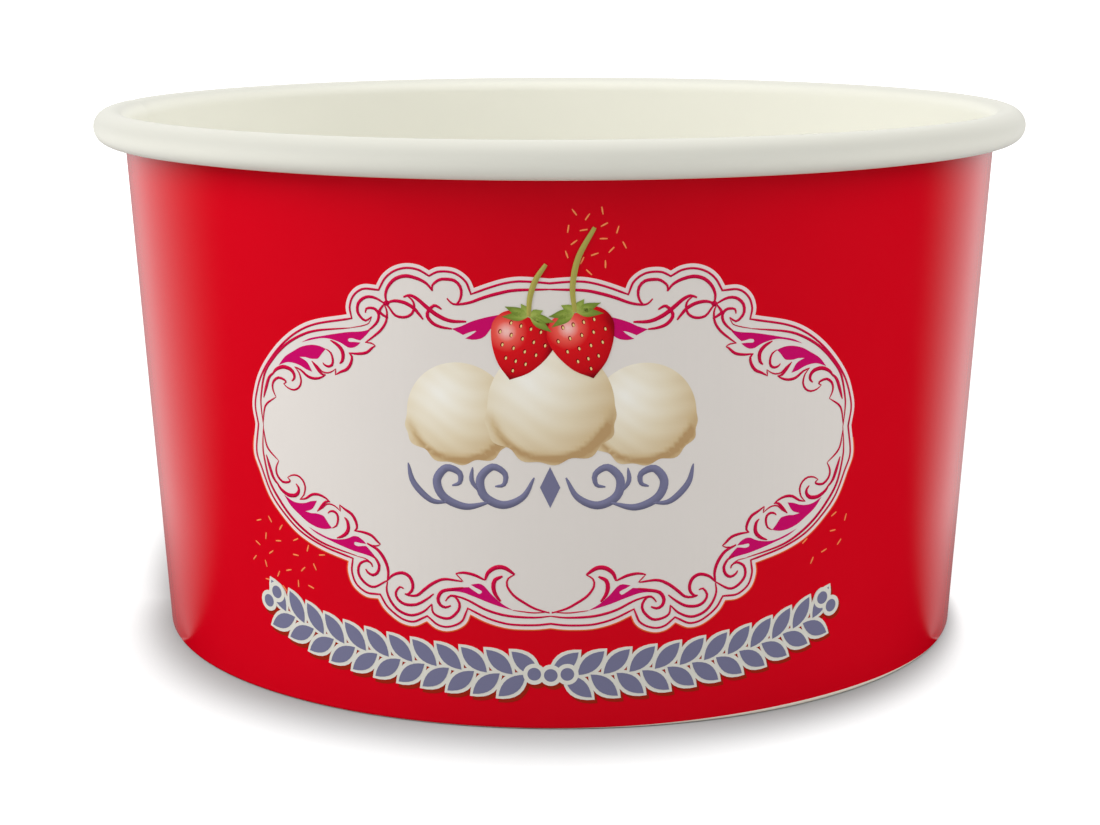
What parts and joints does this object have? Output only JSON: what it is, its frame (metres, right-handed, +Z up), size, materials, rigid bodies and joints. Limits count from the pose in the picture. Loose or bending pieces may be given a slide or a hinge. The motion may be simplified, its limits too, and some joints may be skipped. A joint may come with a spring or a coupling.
{
  "type": "paper dessert cup",
  "caption": "Squat round paper dessert cup with a rolled rim, a tapered lapped sidewall and a flat base disc set above a hemmed foot.",
  "frame": {"origin": "centre of the foot ring, on the surface the cup stands on", "axes": "+Z up along the cup's axis towards the rolled rim, -Y towards the printed front, +X to the right of the front view"},
  "size_m": [0.096, 0.096, 0.054],
  "materials": {
    "sidewall": "coated board, gloss print outside on a red ground, satin inside",
    "base_disc": "coated board, satin"
  },
  "bodies": {
    "root": {"sidewall": "sidewall", "base_disc": "base_disc"}
  },
  "joints": []
}
